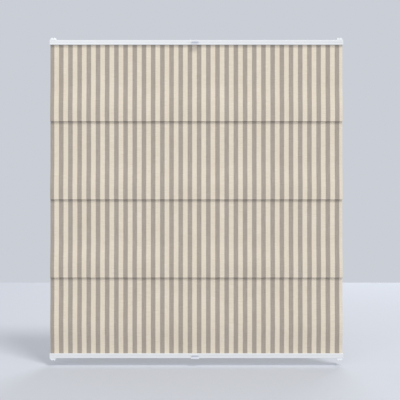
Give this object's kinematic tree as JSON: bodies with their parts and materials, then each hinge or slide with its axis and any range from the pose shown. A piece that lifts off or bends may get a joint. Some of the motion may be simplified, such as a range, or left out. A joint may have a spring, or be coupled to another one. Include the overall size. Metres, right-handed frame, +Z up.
{
  "type": "roman blind",
  "caption": "Striped roman blind held taut between two sliding rails, with clamp brackets that hook over a window sash.",
  "frame": {"origin": "on the sash's front face at its top edge, midway along it", "axes": "+X to the right along the rails, +Y back towards the window, +Z up"},
  "size_m": [1.32, 0.068, 1.452],
  "materials": {
    "rail_white": "white satin powder coat on an extrusion",
    "bracket_white": "satin powder coat on a zinc casting",
    "moulding_white": "semi-gloss moulding",
    "cloth_cream": "matt woven polyester",
    "stripe_taupe": "matt woven polyester",
    "rod_white": "pultruded glass fibre",
    "strip_clear": "milky clear nylon",
    "zinc_steel": "zinc plated",
    "grip_rubber": "matt"
  },
  "bodies": {
    "sash_clamps": {"upper_left_clamp_bracket": "bracket_white", "upper_left_grip_pad": "grip_rubber", "upper_left_clamp_nut": "zinc_steel", "upper_left_tension_shoe": "moulding_white", "upper_left_shoe_screw": "zinc_steel", "upper_right_clamp_bracket": "bracket_white", "upper_right_grip_pad": "grip_rubber", "upper_right_clamp_nut": "zinc_steel", "upper_right_tension_shoe": "moulding_white", "upper_right_shoe_screw": "zinc_steel", "lower_left_clamp_bracket": "bracket_white", "lower_left_grip_pad": "grip_rubber", "lower_left_clamp_nut": "zinc_steel", "lower_left_tension_shoe": "moulding_white", "lower_left_shoe_screw": "zinc_steel", "lower_right_clamp_bracket": "bracket_white", "lower_right_grip_pad": "grip_rubber", "lower_right_clamp_nut": "zinc_steel", "lower_right_tension_shoe": "moulding_white", "lower_right_shoe_screw": "zinc_steel", "shade_cloth": "cloth_cream", "woven_stripes": "stripe_taupe", "fold_rod_1": "rod_white", "cord_ring_1_left": "strip_clear", "cord_ring_1_right": "strip_clear"},
    "upper_rail_unit": {"upper_left_end_cap": "moulding_white", "upper_left_cord_guide": "moulding_white", "upper_right_end_cap": "moulding_white", "upper_right_cord_guide": "moulding_white", "upper_rail": "rail_white", "upper_retaining_strip": "strip_clear", "upper_finger_grip": "moulding_white"},
    "lower_rail_unit": {"lower_left_end_cap": "moulding_white", "lower_left_cord_guide": "moulding_white", "lower_right_end_cap": "moulding_white", "lower_right_cord_guide": "moulding_white", "lower_rail": "rail_white", "lower_retaining_strip": "strip_clear", "lower_finger_grip": "moulding_white"},
    "second_fold": {"fold_rod_2": "rod_white", "cord_ring_2_left": "strip_clear", "cord_ring_2_right": "strip_clear"},
    "third_fold": {"fold_rod_3": "rod_white", "cord_ring_3_left": "strip_clear", "cord_ring_3_right": "strip_clear"},
    "upper_left_clamp": {"upper_left_clamp_screw": "zinc_steel", "upper_left_pressure_pad": "grip_rubber"},
    "upper_right_clamp": {"upper_right_clamp_screw": "zinc_steel", "upper_right_pressure_pad": "grip_rubber"},
    "lower_left_clamp": {"lower_left_clamp_screw": "zinc_steel", "lower_left_pressure_pad": "grip_rubber"},
    "lower_right_clamp": {"lower_right_clamp_screw": "zinc_steel", "lower_right_pressure_pad": "grip_rubber"}
  },
  "joints": [
    {"name": "upper_rail_slide", "type": "slide", "parent": "sash_clamps", "child": "upper_rail_unit", "axis": [0, 0, 1], "range_m": [-0.3, 0], "deforming": ["shade_cloth", "woven_stripes"]},
    {"name": "lower_rail_slide", "type": "slide", "parent": "sash_clamps", "child": "lower_rail_unit", "axis": [0, 0, 1], "range_m": [0, 0.9], "deforming": ["shade_cloth", "woven_stripes"]},
    {"name": "second_fold_slide", "type": "slide", "parent": "sash_clamps", "child": "second_fold", "axis": [0, 0, 1], "range_m": [0, 0.2888]},
    {"name": "third_fold_slide", "type": "slide", "parent": "sash_clamps", "child": "third_fold", "axis": [0, 0, 1], "range_m": [0, 0.5909]},
    {"name": "upper_left_clamp_screw_feed", "type": "slide", "parent": "sash_clamps", "child": "upper_left_clamp", "axis": [0, 1, 0], "range_m": [-0.0012, 0.004]},
    {"name": "upper_right_clamp_screw_feed", "type": "slide", "parent": "sash_clamps", "child": "upper_right_clamp", "axis": [0, 1, 0], "range_m": [-0.0012, 0.004]},
    {"name": "lower_left_clamp_screw_feed", "type": "slide", "parent": "sash_clamps", "child": "lower_left_clamp", "axis": [0, 1, 0], "range_m": [-0.0012, 0.004]},
    {"name": "lower_right_clamp_screw_feed", "type": "slide", "parent": "sash_clamps", "child": "lower_right_clamp", "axis": [0, 1, 0], "range_m": [-0.0012, 0.004]}
  ],
  "couplings": [
    {"joint": "second_fold_slide", "follows": "lower_rail_slide", "ratio": 0.32038},
    {"joint": "third_fold_slide", "follows": "lower_rail_slide", "ratio": 0.65604}
  ]
}
